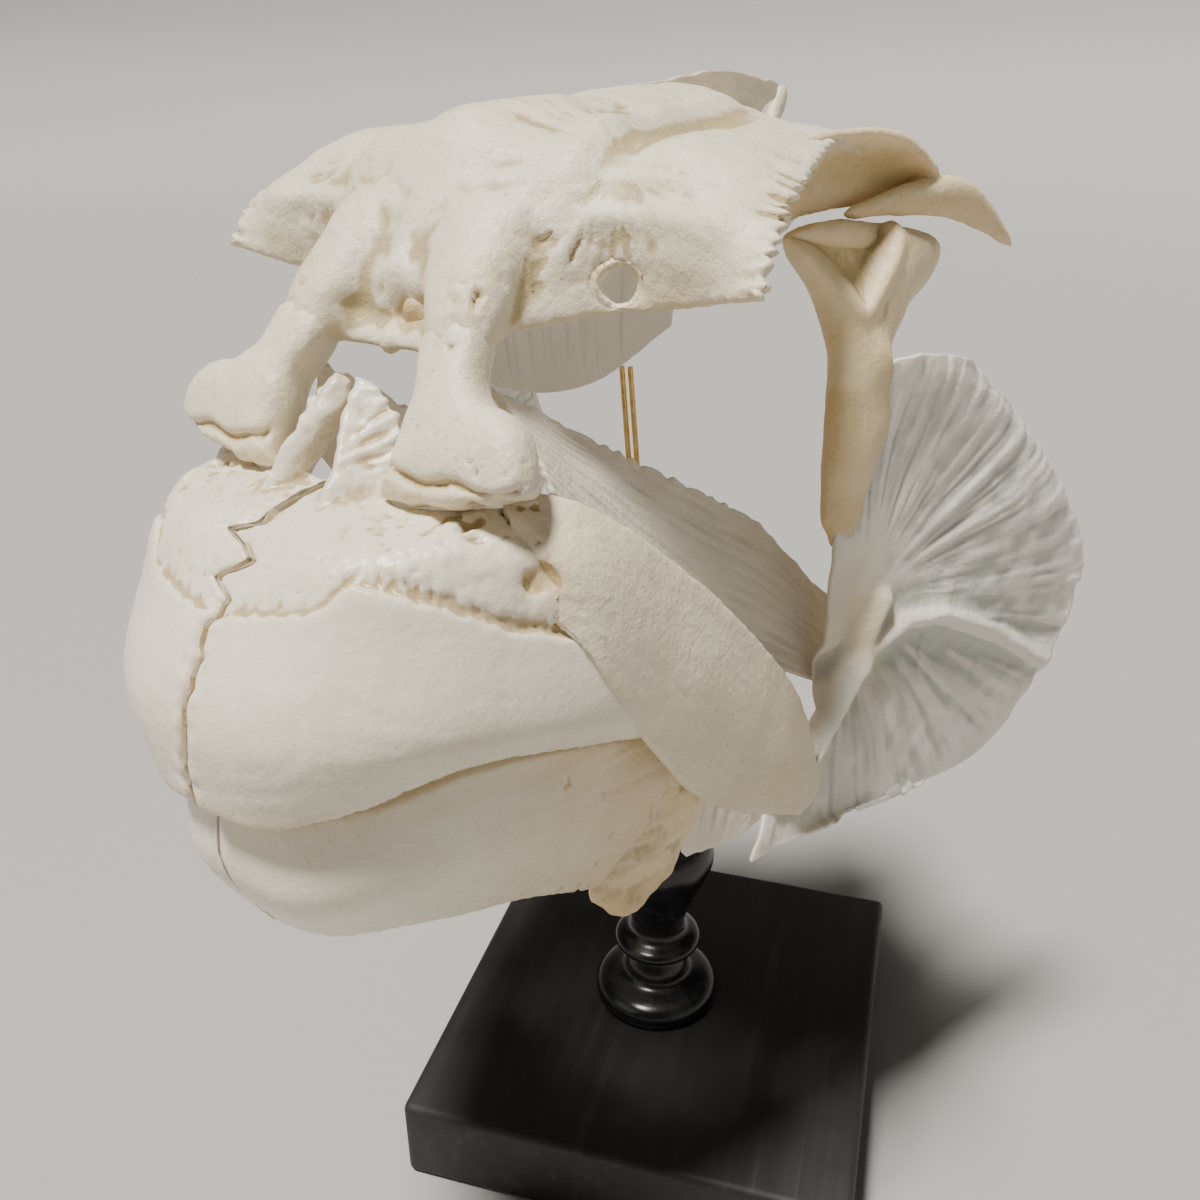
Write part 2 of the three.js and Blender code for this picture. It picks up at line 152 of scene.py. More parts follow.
def blend(add, factor, low, high):
    node = add("ShaderNodeMix")
    node.data_type = "RGBA"
    tree = node.id_data
    for socket, value in ((node.inputs[0], factor), (node.inputs[6], low), (node.inputs[7], high)):
        if isinstance(value, bpy.types.NodeSocket):
            tree.links.new(value, socket)
        else:
            socket.default_value = value
    return node.outputs[2]


bm = bmesh.new()
bmesh.ops.create_cube(bm, size=1)
bmesh.ops.scale(bm, vec=base_high - base_low, verts=bm.verts)
bmesh.ops.translate(bm, vec=(base_low + base_high) / 2, verts=bm.verts)
bmesh.ops.bevel(bm, geom=bm.edges[:], offset=base_ease, offset_type="OFFSET", segments=4, profile=0.5,
                affect="EDGES", material=-1)
base = new_object("base", mesh_from(bm, "base"))
base.data.shade_smooth()
base_stain = bpy.data.materials.new("black_wood")
tree, shader, add = node_maker(base_stain)
place = add("ShaderNodeTexCoord").outputs["Object"]
along = add("ShaderNodeMapping", Vector=place, Scale=(260, 9, 260)).outputs["Vector"]
fibre = add("ShaderNodeTexNoise", Vector=along, Scale=1.0, Detail=6.0, Roughness=0.65).outputs["Fac"]
wear = add("ShaderNodeTexNoise", Vector=place, Scale=38.0, Detail=5.0, Roughness=0.6).outputs["Fac"]
streak = ramp(add, fibre, [(0.42, (0.007, 0.007, 0.0075, 1)), (0.58, (0.013, 0.013, 0.013, 1)),
                           (0.78, (0.045, 0.043, 0.040, 1))])
colour = blend(add, ramp(add, wear, [(0.45, 0.0), (0.75, 0.55)]), streak, (0.030, 0.029, 0.027, 1))
tree.links.new(colour, shader.inputs["Base Color"])
tree.links.new(ramp(add, wear, [(0.3, 0.50), (0.7, 0.68)]), shader.inputs["Roughness"])
relief = add("ShaderNodeBump", Strength=0.35, Distance=0.0004, Height=fibre)
tree.links.new(relief.outputs["Normal"], shader.inputs["Normal"])
base.data.materials.append(base_stain)
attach(base, "root")
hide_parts("mount_base")

# The post: turned wood in gloss black, a thick round foot, a waist, a collar and a cup.
# It is glued upright on the base, a little off its middle.
post_low, post_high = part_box("mount_post")
post_axis = (post_low + post_high) / 2
post_profile = [(0, 0), (12.6, 0), (13.35, 0.9), (13.5, 2.2), (13.2, 3.6), (12.2, 4.8), (10.2, 5.6),
                (8.0, 6.2), (6.9, 6.9), (6.9, 8.2), (6.2, 10.0), (5.0, 11.6), (5.2, 13.2), (7.6, 13.9),
                (9.1, 14.6), (9.4, 15.6), (9.0, 16.7), (7.2, 17.4), (6.0, 18.0), (5.6, 19.6),
                (5.9, 22), (7.2, 27), (9.8, 32.5), (11.2, 36), (11.5, 38.5),
                (11.0, 41.5), (9.2, 43.8), (7.0, 44.6), (0, 45)]
bm = bmesh.new()
rim = [bm.verts.new((r / 1000, 0, h / 1000)) for r, h in post_profile]
outline = [bm.edges.new(pair) for pair in zip(rim, rim[1:])]
bmesh.ops.spin(bm, geom=rim + outline, cent=(0, 0, 0), axis=(0, 0, 1), angle=2 * math.pi, steps=72)
bmesh.ops.remove_doubles(bm, verts=bm.verts, dist=1e-5)
bmesh.ops.translate(bm, vec=(post_axis.x, post_axis.y, post_low.z), verts=bm.verts)
bmesh.ops.recalc_face_normals(bm, faces=bm.faces)
post = new_object("post", mesh_from(bm, "post"))
post.data.shade_smooth()
subdivide = post.modifiers.new("round", "SUBSURF")
subdivide.levels = subdivide.render_levels = 1
lacquer = bpy.data.materials.new("black_lacquer")
tree, shader, add = node_maker(lacquer)
place = add("ShaderNodeTexCoord").outputs["Object"]
dust = add("ShaderNodeTexNoise", Vector=place, Scale=140.0, Detail=5.0, Roughness=0.6).outputs["Fac"]
dulled = ramp(add, dust, [(0.5, 0.0), (0.8, 0.6)])
gloss_black = blend(add, dulled, (0.006, 0.0065, 0.008, 1), (0.030, 0.030, 0.030, 1))
tree.links.new(gloss_black, shader.inputs["Base Color"])
tree.links.new(ramp(add, dust, [(0.35, 0.16), (0.75, 0.36)]), shader.inputs["Roughness"])
relief = add("ShaderNodeBump", Strength=0.08, Distance=0.0003, Height=dust)
tree.links.new(relief.outputs["Normal"], shader.inputs["Normal"])
post.data.materials.append(lacquer)
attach(post, "root")
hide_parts("mount_post")

# The wires: two straight lengths of drawn brass, side by side from the post to the keel under the skull.
# Each is let into the post and glued to the bone.
wire_radius = 0.0005
brass = bpy.data.materials.new("wire")
tree, shader, add = node_maker(brass)
place = add("ShaderNodeTexCoord").outputs["Object"]
tarnish = add("ShaderNodeTexNoise", Vector=place, Scale=420.0, Detail=3.0).outputs["Fac"]
gold = ramp(add, tarnish, [(0.35, (0.68, 0.48, 0.17, 1)), (0.7, (0.88, 0.67, 0.30, 1))])
tree.links.new(gold, shader.inputs["Base Color"])
tree.links.new(ramp(add, tarnish, [(0.3, 0.22), (0.7, 0.4)]), shader.inputs["Roughness"])
shader.inputs["Metallic"].default_value = 1
for side in ("left", "right"):
    low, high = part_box("mount_wire_" + side)
    foot = Vector((high.x - wire_radius, high.y - wire_radius, low.z - 0.002))
    tip = Vector((low.x + wire_radius, low.y + wire_radius, high.z + 0.0012))
    rod = tip - foot
    bm = bmesh.new()
    bmesh.ops.create_cone(bm, cap_ends=True, segments=20, radius1=wire_radius, radius2=wire_radius,
                          depth=rod.length)
    bmesh.ops.rotate(bm, cent=(0, 0, 0), matrix=rod.to_track_quat("Z", "Y").to_matrix(), verts=bm.verts)
    bmesh.ops.translate(bm, vec=(foot + tip) / 2, verts=bm.verts)
    wire = new_object("wire_" + side, mesh_from(bm, "wire_" + side))
    wire.data.materials.append(brass)
    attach(wire, "root")
    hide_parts("mount_wire_" + side)

# The cranium's roof: the two frontal bones, joined down the middle, with a serrated wing over each orbit.
# Dry ivory bone, grown outward from the middle of each frontal, so its lines and pores radiate from there.
# The skull is modelled in its own frame in millimetres: +X its left, +Y its back, +Z up from the wires' end.
skull_turn, skull_lean = math.radians(-21.2), math.radians(-2.35)
skull_pose = (Matrix.Translation((-0.0113, 0.0001, 0.160)) @ Matrix.Rotation(skull_turn, 4, "Z")
              @ Matrix.Rotation(skull_lean, 4, "Y") @ Matrix.Scale(0.001, 4))
roof_half = [
    [[0, -54, 14.6], [5, -54, 14.6], [10, -53.5, 14.6], [18, -48, 16.8], [27, -38.5, 18.5],
     [39, -38.5, 20.5], [49, -41, 23.5]],
    [[0, -48, 28.5], [9, -46.5, 29.5], [18, -43.5, 28], [27, -38, 27], [39, -38.5, 28.5], [49, -37, 28.5]],
    [[0, -37, 40], [12, -35, 38], [24, -31, 38], [36, -30, 37], [47, -29, 32]],
    [[0, -10, 42], [12, -8, 40], [24, -6, 39], [34, -4, 39], [40, -4, 37.5]],
    [[0, 12, 43], [10, 14, 41], [20, 14, 39], [30, 14, 37], [38, 12, 34]],
    [[0, 34, 40], [8, 31, 39], [16, 29, 36], [24, 26, 32], [31, 23, 28]],
]
root_stations = [(9.5, -40, 32, 7.5, 4.4), (11, -46, 26, 7, 4.9), (13, -52, 19.5, 6.2, 4.7),
                 (15.1, -56.6, 13.5, 3.6, 2.8)]
braincase_stations = [(0, -14, 33, 6, 5), (0, 2, 30, 13, 9), (0, 18, 28, 18, 11), (0, 32, 26, 16, 11),
                      (0, 44, 24, 8, 8), (0, 49, 23, 6, 6)]
ethmoid_stations = [(0, -36, 30, 9, 6), (0, -44, 25, 9, 5), (0, -49.5, 20, 8, 4)]
spur_stations = [(-4, 42, 27, 2.4, 2), (-5, 54, 33, 1.4, 1.3), (-5.7, 60.5, 39, 2.1, 1.5),
                 (-6, 63.5, 42.5, 1.2, 1)]


def flow(points, share):
    """Places at the given shares of the way along a smooth line through the points."""
    p = np.asarray(points, float)
    p = np.concatenate([[2 * p[0] - p[1]], p, [2 * p[-1] - p[-2]]])
    s = np.clip(share, 0, 1) * (len(p) - 3)
    i = np.minimum(s.astype(int), len(p) - 4)
    w = (s - i).reshape((-1,) + (1,) * (p.ndim - 1))
    p0, p1, p2, p3 = p[i], p[i + 1], p[i + 2], p[i + 3]

    def gap(a, b):
        return np.maximum(np.sqrt(np.linalg.norm(b - a, axis=-1, keepdims=True)), 1e-2)

    d0, d1, d2 = gap(p0, p1), gap(p1, p2), gap(p2, p3)
    m1 = ((p1 - p0) / d0 - (p2 - p0) / (d0 + d1) + (p2 - p1) / d1) * d1
    m2 = ((p2 - p1) / d1 - (p3 - p1) / (d1 + d2) + (p3 - p2) / d2) * d1
    return p1 + m1 * w + (3 * (p2 - p1) - 2 * m1 - m2) * w ** 2 + (2 * (p1 - p2) + m1 + m2) * w ** 3


def coords(mesh):
    co = np.empty(len(mesh.vertices) * 3)
    mesh.vertices.foreach_get("co", co)
    return co.reshape(-1, 3)


def set_coords(mesh, co):
    mesh.vertices.foreach_set("co", np.asarray(co, np.float32).ravel())
    mesh.update()


def normals(mesh):
    n = np.empty(len(mesh.vertices) * 3, np.float32)
    mesh.vertex_normals.foreach_get("vector", n)
    return n.reshape(-1, 3).astype(float)


def step(low, high, x):
    t = np.clip((x - low) / (high - low), 0, 1)
    return t * t * (3 - 2 * t)


def grain(p, size, seed=0):
    """Smooth random bumps between -1 and 1, of about the given size, the same on every run."""
    q = np.asarray(p, float) / size + 31.7 * seed + 500
    i = np.floor(q).astype(np.int64)
    f = q - i
    f = f * f * (3 - 2 * f)
    total = np.zeros(len(q))
    for corner in range(8):
        d = np.array([corner & 1, corner >> 1 & 1, corner >> 2 & 1])
        h = (i + d) @ np.array([374761393, 668265263, 982451653])
        h = (h ^ (h >> 13)) * 1274126177 & 0x7FFFFFFF
        value = ((h ^ (h >> 16)) & 0xFFFF) / 32767.5 - 1
        total += value * np.prod(np.where(d, f, 1 - f), axis=1)
    return total


def facing(skin):
    """The outward direction over a grid of places, evened out where the grid is pinched."""
    out = np.cross(np.gradient(skin, axis=0), np.gradient(skin, axis=1))
    for _ in range(10):
        wide = np.pad(out, ((1, 1), (1, 1), (0, 0)), "edge")
        out = (wide[:-2, 1:-1] + wide[2:, 1:-1] + wide[1:-1, :-2] + wide[1:-1, 2:] + 2 * out) / 6
    return out / np.linalg.norm(out, axis=-1, keepdims=True)


def plate(rows, across, down, thick, rim, edit=None):
    """A closed curved plate. The rows of points lie on its outer face, and its thickness goes inward."""
    bm = bmesh.new()
    bmesh.ops.create_grid(bm, x_segments=across, y_segments=down, size=0.5)
    inner = bmesh.ops.extrude_face_region(bm, geom=bm.faces[:])["geom"]
    for v in inner:
        if isinstance(v, bmesh.types.BMVert):
            v.co.z = 1
    mesh = mesh_from(bm, "plate")
    co = coords(mesh)
    u, v = np.linspace(0, 1, across + 1), np.linspace(0, 1, down + 1)
    skin = flow(np.stack([flow(row, u) for row in rows]), v)
    if edit:
        skin = edit(skin, *np.meshgrid(u, v))
    out = facing(skin)
    uu, vv = np.meshgrid(u, v)
    near = np.minimum(1, 6 * np.minimum(np.minimum(uu, 1 - uu), np.minimum(vv, 1 - vv)))
    depth = rim + (thick - rim) * near
    i = np.rint((co[:, 0] + 0.5) * across).astype(int)
    j = np.rint((co[:, 1] + 0.5) * down).astype(int)
    set_coords(mesh, skin[j, i] - out[j, i] * (depth[j, i] * co[:, 2])[:, None])
    outside(mesh)
    return mesh


def outside(mesh):
    bm = bmesh.new()
    bm.from_mesh(mesh)
    bmesh.ops.recalc_face_normals(bm, faces=bm.faces)
    if bm.calc_volume(signed=True) < 0:
        bmesh.ops.reverse_faces(bm, faces=bm.faces)
    bm.to_mesh(mesh)
    bm.free()


def shaft(stations, width, around=40, along=60, end=0.12, boxy=1.0):
    """A closed shaft through its stations: centre x, y, z, half width and half depth at each."""
    bm = bmesh.new()
    bmesh.ops.create_uvsphere(bm, u_segments=around, v_segments=along, radius=1)
    mesh = mesh_from(bm, "shaft")
    co = coords(mesh)
    t = np.arccos(np.clip(co[:, 2], -1, 1)) / math.pi
    turn = np.arctan2(co[:, 1], co[:, 0])
    stop = np.asarray(stations, float)
    centre, size = flow(stop[:, :3], t), flow(stop[:, 3:], t)
    tangent = flow(stop[:, :3], np.minimum(t + 0.01, 1)) - flow(stop[:, :3], np.maximum(t - 0.01, 0))
    tangent /= np.linalg.norm(tangent, axis=1, keepdims=True)
    wide = np.asarray(width, float) - tangent * (tangent @ np.asarray(width, float))[:, None]
    wide /= np.linalg.norm(wide, axis=1, keepdims=True)
    deep = np.cross(tangent, wide)
    cap = np.sqrt(1 - (1 - np.minimum(np.minimum(t, 1 - t) / end, 1)) ** 2)
    c, s = np.cos(turn), np.sin(turn)
    c, s = np.sign(c) * np.abs(c) ** boxy, np.sign(s) * np.abs(s) ** boxy
    set_coords(mesh, centre + wide * (c * size[:, 0] * cap)[:, None] + deep * (s * size[:, 1] * cap)[:, None])
    outside(mesh)
    return mesh


def with_modifier(mesh, kind, **settings):
    holder = new_object("work", mesh)
    modifier = holder.modifiers.new("work", kind)
    for key, value in settings.items():
        setattr(modifier, key, value)
    made = bpy.data.meshes.new_from_object(holder.evaluated_get(bpy.context.evaluated_depsgraph_get()))
    bpy.data.objects.remove(holder)
    return made


def fuse(pieces, size):
    """One skin around overlapping pieces, in even squares of about the given size."""
    bm = bmesh.new()
    for piece in pieces:
        bm.from_mesh(piece)
    return with_modifier(mesh_from(bm, "fused"), "REMESH", mode="VOXEL", voxel_size=size, adaptivity=0)


def carve(mesh, cutters):
    for cutter in cutters:
        tool = new_object("cutter", cutter)
        mesh = with_modifier(mesh, "BOOLEAN", operation="DIFFERENCE", solver="EXACT", object=tool)
        bpy.data.objects.remove(tool)
    return mesh


def peg(at, along, radius, length, flat=1.0):
    bm = bmesh.new()
    bmesh.ops.create_cone(bm, cap_ends=True, segments=40, radius1=radius, radius2=radius, depth=length)
    bmesh.ops.scale(bm, vec=(1, flat, 1), verts=bm.verts)
    turned = Vector(along).to_track_quat("Z", "Y").to_matrix()
    bmesh.ops.rotate(bm, cent=(0, 0, 0), matrix=turned, verts=bm.verts)
    bmesh.ops.translate(bm, vec=at, verts=bm.verts)
    return mesh_from(bm, "peg")


def soften(mesh, co, times, where=1.0):
    """Places of the vertices after drawing each toward its neighbours, the given number of times."""
    edges = np.empty(len(mesh.edges) * 2, np.int64)
    mesh.edges.foreach_get("vertices", edges)
    a, b = edges[0::2], edges[1::2]
    count = np.bincount(edges, minlength=len(co))[:, None]
    co = co.copy()
    where = np.broadcast_to(np.asarray(where, float), (len(co),))[:, None]
    for _ in range(times):
        total = np.stack([np.bincount(a, co[b, k], len(co)) + np.bincount(b, co[a, k], len(co))
                          for k in range(3)], axis=1)
        co += 0.6 * where * (total / count - co)
    return co


# The depth found here sets the painted shade in the bones' hollows.
def crevice(mesh):
    """How far each place lies below its near and wider surroundings, in millimetres."""
    co, n = coords(mesh), normals(mesh)
    near = soften(mesh, co, 14)
    wide = soften(mesh, near, 90)
    return ((near - co) * n).sum(1) * 1.4 + np.clip(((wide - co) * n).sum(1), -1, 2) * 0.42


def bone(name, mesh, look, side, slot, node, **marks):
    # The first mark holds real stains and painted shade, and the second holds painted shade in the hollows.
    marks.setdefault("stain", np.zeros(len(mesh.vertices)))
    marks.setdefault("recess", np.clip(1.5 * crevice(mesh), -1, 1))
    if side == "right":
        co = coords(mesh)
        co[:, 0] *= -1
        set_coords(mesh, co)
        mesh.flip_normals()
    mesh.transform(skull_pose)
    for key, value in marks.items():
        mesh.attributes.new(key, "FLOAT", "POINT").data.foreach_set("value", np.asarray(value, np.float32))
    mesh.name = name
    mesh.materials.clear()
    mesh.materials.append(look)
    mesh.shade_smooth()
    thing = new_object("bone_" + name, mesh)
    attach(thing, "root")
    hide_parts(node)
    return thing


def bone_look(name, pale, deep, stain, rough, clear, speck=0.5, relief=0.36):
    """Dry bone: pale on the heights, with painted shade in the hollows, tan where marked for real stains and
    painted shade, with pores and grain.
    """
    look = bpy.data.materials.new(name)
    tree, shader, add = node_maker(look)
    place = add("ShaderNodeTexCoord").outputs["Object"]
    cloud = add("ShaderNodeTexNoise", Vector=place, Scale=70.0, Detail=5.0, Roughness=0.6).outputs["Fac"]
    fine = add("ShaderNodeTexNoise", Vector=place, Scale=900.0, Detail=4.0, Roughness=0.6).outputs["Fac"]
    pores = add("ShaderNodeTexNoise", Vector=place, Scale=1500.0, Detail=1.0).outputs["Fac"]
    blotch = add("ShaderNodeTexNoise", Vector=place, Scale=230.0, Detail=6.0, Roughness=0.7).outputs["Fac"]
    hollow_shade = add("ShaderNodeAttribute")
    hollow_shade.attribute_name = "recess"
    marked = add("ShaderNodeAttribute")
    marked.attribute_name = "stain"
    warm = tuple(0.5 * a + 0.5 * b for a, b in zip(pale, deep))
    tint = blend(add, ramp(add, cloud, [(0.35, 0.0), (0.75, 0.38)]), pale, warm)
    tint = blend(add, ramp(add, blotch, [(0.46, 0.0), (0.72, 0.34)]), tint, warm)
    # Painted shade: the hollows take the deep colour.
    tint = blend(add, ramp(add, hollow_shade.outputs["Fac"], [(0.03, 0.0), (0.34, 0.9)]), tint, deep)
    # Marked places take the stain colour, which paints real stains and painted shade.
    patchy = add("ShaderNodeMath")
    patchy.operation = "MULTIPLY"
    tree.links.new(marked.outputs["Fac"], patchy.inputs[0])
    tree.links.new(ramp(add, cloud, [(0.25, 0.55), (0.7, 1.0)]), patchy.inputs[1])
    tint = blend(add, patchy.outputs[0], tint, stain)
    dark = tuple(0.62 * c for c in deep[:3]) + (1,)
    tint = blend(add, ramp(add, pores, [(0.66, 0.0), (0.80, speck)]), tint, dark)
    tree.links.new(tint, shader.inputs["Base Color"])
    tree.links.new(ramp(add, fine, [(0.3, rough - 0.08), (0.7, rough + 0.1)]), shader.inputs["Roughness"])
    shader.inputs["Subsurface Weight"].default_value = clear
    shader.inputs["Subsurface Radius"].default_value = (1.0, 0.7, 0.45)
    shader.inputs["Subsurface Scale"].default_value = 0.0018
    uneven = add("ShaderNodeBump", Strength=relief * 1.6, Distance=0.0007, Height=blotch)
    bump = add("ShaderNodeBump", Strength=relief * 1.5, Distance=0.0004, Height=fine,
               Normal=uneven.outputs["Normal"])
    tree.links.new(bump.outputs["Normal"], shader.inputs["Normal"])
    return look


ivory = bone_look("bone", (0.84, 0.765, 0.60, 1), (0.46, 0.36, 0.18, 1), (0.62, 0.45, 0.21, 1), 0.40, 0.1)


def flipped(stations):
    return [(-x, *rest) for x, *rest in stations]


roof = plate([row[:0:-1] + [[-x, y, z] for x, y, z in row] for row in roof_half], 200, 140, 4.2, 1.6)
roof = carve(roof, [peg((s * 27, -38, 22.3), (s * 0.25, -1, 0.15), 2.5, 24, 0.9) for s in (1, -1)])
cranium = fuse([
    roof,
    shaft(root_stations, (1, 0.05, 0.1)),
    shaft(flipped(root_stations), (1, 0.05, 0.1)),
    shaft(braincase_stations, (1, 0, 0)),
    shaft(ethmoid_stations, (1, 0, 0)),
    shaft(spur_stations, (0, 1, 0)),
], 0.58)
co = soften(cranium, coords(cranium), 4)
at_root = np.exp(-((np.abs(co[:, 0]) - 12) / 9) ** 2) * step(-34, -44, co[:, 1]) * step(13, 18, co[:, 2])
co = soften(cranium, co, 26, at_root)
margin = np.interp(co[:, 1], [-41, -37, -29, -4], [48.6, 48.6, 46.6, 39.8])
near_edge = step(4.5, 0.6, margin - np.abs(co[:, 0])) * step(-44, -42, co[:, 1]) * step(2, -4, co[:, 1])
run = (co[:, 1] + 41) * 0.62 + (co[:, 2] - 23.5) * 0.95
saw = np.abs((run / 2.2 + 0.15 * np.sin(0.9 * run)) % 1 - 0.5) * 2
co[:, 0] += np.sign(co[:, 0]) * near_edge * (1.5 * saw - 0.8) * (0.35 + 0.65 * step(-18, -30, co[:, 1]))
set_coords(cranium, co)
co, n = coords(cranium), normals(cranium)
x, y, z = np.abs(co[:, 0]), co[:, 1], co[:, 2]
top = step(0.05, 0.4, n[:, 2])
front = step(0.1, 0.5, -n[:, 1])
skin = np.maximum(top, front)
angle, reach = np.arctan2(y + 33, x - 25), np.hypot(y + 33, x - 25)
flat = np.stack([angle * 9, reach * 0.07, np.sign(co[:, 0]) * 7], 1)
rays = grain(flat, 1.0, 1) + 0.7 * grain(flat * [2.4, 1.4, 1], 1.0, 2)
edge = 20 - 0.14 * (y + 33)
platform = step(edge + 2.5, edge - 2.5, x) * step(-44, -34, y) * step(18, 12, y) * top
lift = 1.8 * platform * (1 + 0.3 * grain(co, 8, 3))
lift -= 1.1 * np.exp(-((x - edge - 4) / 3.5) ** 2) * step(-38, -28, y) * step(14, 4, y) * top
lift += 0.20 * rays * step(1.5, 7, reach) * step(34, 24, reach) * top
lift += 0.35 * near_edge * grain(np.stack([run * 0.9, x * 0.12, z * 0], 1), 1.0, 4)
basin = np.exp(-((x - 28) / 7) ** 2 - ((z - 23.5) / 4.2) ** 2) * front * step(-50, -46, y)
lift -= 1.4 * basin
lift += 1.1 * np.exp(-((z - 30.5) / 1.8) ** 2) * step(20, 25, x) * step(46, 40, x) * front
pores = grain(np.stack([angle * 13, reach * 0.42, np.sign(co[:, 0]) * 5], 1), 1.0, 5)
dense = np.exp(-((x - 22) / 6) ** 2 - ((y + 44) / 7) ** 2)
lift -= ((0.10 + 0.75 * dense) * step(0.30, 0.62, pores) * step(2, 6, reach)
         * step(-0.5, 0.3, grain(co, 7, 6) + dense) * skin)
comb = np.exp(-((x - 16.5) / 2.6) ** 2 - ((z - 24) / 5.0) ** 2) * front
lift -= 1.0 * comb * step(0.05, 0.45, grain(np.stack([x * 1.5, y, z * 0.55], 1), 1.5, 7))
nose = np.exp(-((co[:, 0] - 3.0) / 4.4) ** 2 - ((z - 18.8 - 0.15 * co[:, 0]) / 2.0) ** 2)
nose += 0.3 * np.exp(-((co[:, 0] + 6) / 3.5) ** 2 - ((z - 19) / 2) ** 2)
nose *= step(-46, -50, y)
nose *= 1 + 0.5 * grain(co, 2.5, 14)
lift -= 2.3 * nose
lift += 0.9 * np.exp(-(co[:, 0] / 1.2) ** 2) * step(-45, -50, y) * step(30, 24, z)
lift += (0.20 * grain(co, 5, 8) + 0.09 * grain(co, 1.7, 9)) * (0.4 + 0.6 * skin)
neck = np.hypot(co[:, 0] / 5.5, (z - 30) / 4.5)
lift -= 5 * step(1.0, 0.6, neck) * step(36, 42, y) * step(0.2, 0.6, n[:, 1])
set_coords(cranium, co + n * lift[:, None])
# Painted shade: the faces that look down, under the wings and roof, take the stain colour, and so do the dip
# at the snout's root and the combed grooves.
underside_shade = step(0.2, -0.4, n[:, 2]) * 0.55
bone("cranium", cranium, ivory, "left", "bone", "cranium",
     stain=np.clip(0.5 * nose + underside_shade + 0.5 * comb, 0, 1))

# The crest: the supraoccipital, a thin upright plate at the back of the roof with a ragged rear edge.
# It grew from the nape, so its lines run up and back.
crest_rows = [
    [[1.2, 2, 44], [1.2, 20, 45.6], [1.2, 36, 45], [1.2, 46.5, 42.8]],
    [[1.2, 4, 38], [1.2, 16, 38], [1.2, 28, 36.5], [1.2, 36.5, 34]],
]


def ragged(skin, u, v):
    out = skin.copy()
    back = step(0.75, 1.0, u)
    frayed = grain(np.stack([v.ravel() * 9, v.ravel() * 0, v.ravel() * 0], 1), 1.0, 21).reshape(u.shape)
    out[..., 1] += back * (2.2 * frayed)
    crown = step(0.25, 0.0, v)
    wave = grain(np.stack([u.ravel() * 14, v.ravel() * 0, v.ravel() * 0], 1), 1.0, 22).reshape(u.shape)
    out[..., 2] += crown * 0.6 * wave
    out[..., 0] += 0.12 * wave + 1.4 * step(0.5, 1.0, u) * (1 - v)
    return out


crest = plate(crest_rows, 120, 44, 2.6, 1.2, ragged)
bone("crest", crest, ivory, "left", "bone", "supraoccipital")

# The keel: the parasphenoid, a thin clear plate under the roof between the orbits, that the wires hold.
# Fine lines run down it, and its lower edge is worn.
keel_rows = [
    [[0.8, -46, 24], [0.8, -28, 30], [0.8, -8, 30], [0.8, 16, 20]],
    [[0.8, -46, 16], [0.8, -30, 14], [0.8, -10, 12], [0.8, 15, 13]],
    [[0.8, -43, 11], [0.8, -29, 3], [0.8, -10, 0], [0.8, 13, 5]],
]
clear_bone = bone_look("thin_bone", (0.84, 0.80, 0.72, 1), (0.50, 0.52, 0.45, 1), (0.72, 0.57, 0.33, 1),
                       0.42, 0.4, speck=0.15)


def striped(seed, count, height, lean=0.0):
    def edit(skin, u, v):
        flat = np.stack([(u + lean * v).ravel() * count, v.ravel() * 1.5, v.ravel() * 0], 1)
        lines = grain(flat, 1.0, seed).reshape(u.shape)
        out = facing(skin)
        return skin + out * (height * lines)[..., None]
    return edit


keel = plate(keel_rows, 110, 70, 1.6, 0.8, striped(23, 60, 0.10))
bone("keel", keel, clear_bone, "left", "thin_bone", "parasphenoid")

# The upper jaw: two premaxillae that meet in a deep zigzag seam, each with half of the beak's upper plate.
# The tooth plate is dense and pearly, with growth bands. Above its rough upper edge is porous bone, and a
# blade with a combed side rises from each toward the snout.
premaxilla_rows = [
    [[0, -66, 0], [7, -67, 0], [14, -66, -1], [21, -63, -1], [27, -58, -1]],
    [[0, -79, -3], [9, -80, -3], [18, -79, -4], [25, -72, -3], [32, -62, -5]],
    [[0, -88, -12], [10, -87, -12], [20, -83, -12], [28, -74, -12], [37.5, -57.5, -18]],
    [[0, -94, -23], [10, -93, -23], [20, -88, -24], [29.5, -78, -24], [40, -54, -28]],
    [[0, -94, -35], [10, -92, -36], [19, -86, -34], [29, -74, -30], [39.5, -49, -34.5]],
]
ascending_rows = [
    [[1.6, -61.2, 12.9], [3.5, -60.4, 12.4], [5.5, -59.9, 10.6]],
    [[2.8, -65, 8.5], [5.2, -62.5, 8.2], [9.0, -61.0, 7.4]],
    [[5.5, -70, 3.0], [7.6, -66.5, 2.5], [10, -63.5, 2.6]],
    [[6.5, -76, -4.5], [9, -72, -4.5], [12, -67, -4.5]],
]
seam_at = [0, 9.1, 10.9, 12.2, 13.8, 17.3, 19.3, 23.3, 27.1, 31, 38.4, 44.6]
seam_out = [0, 0.3, -3.4, 0.7, 3.2, -1.1, 2.4, 1.2, 1.9, 1.5, 0.9, 0.1]
plate_top_at = [0, 3, 9.5, 14.7, 16.8, 18.9, 22.8, 27.3, 33, 36.4, 42]
plate_top = [-11.5, -11.2, -9.9, -9.3, -7.6, -5.2, -6.6, -9.3, -14.4, -16.4, -20]
maxilla_opening = dict(at=(35.0, -65.3, -7.4), along=(0.6, -0.7, 0.2), radius=2.3, length=8, flat=0.82)
pearl = bone_look("beak", (0.85, 0.79, 0.65, 1), (0.50, 0.38, 0.20, 1), (0.64, 0.47, 0.23, 1),
                  0.28, 0.12, speck=0.3, relief=0.18)


def past_middle(row):
    x, y, z = row[1]
    return [[-x, y, z]] + row


def to_seam(co, wave):
    """Flattens what lies beyond the seam onto it."""
    co[:, 0] = np.maximum(co[:, 0], wave + 0.2)
    return co


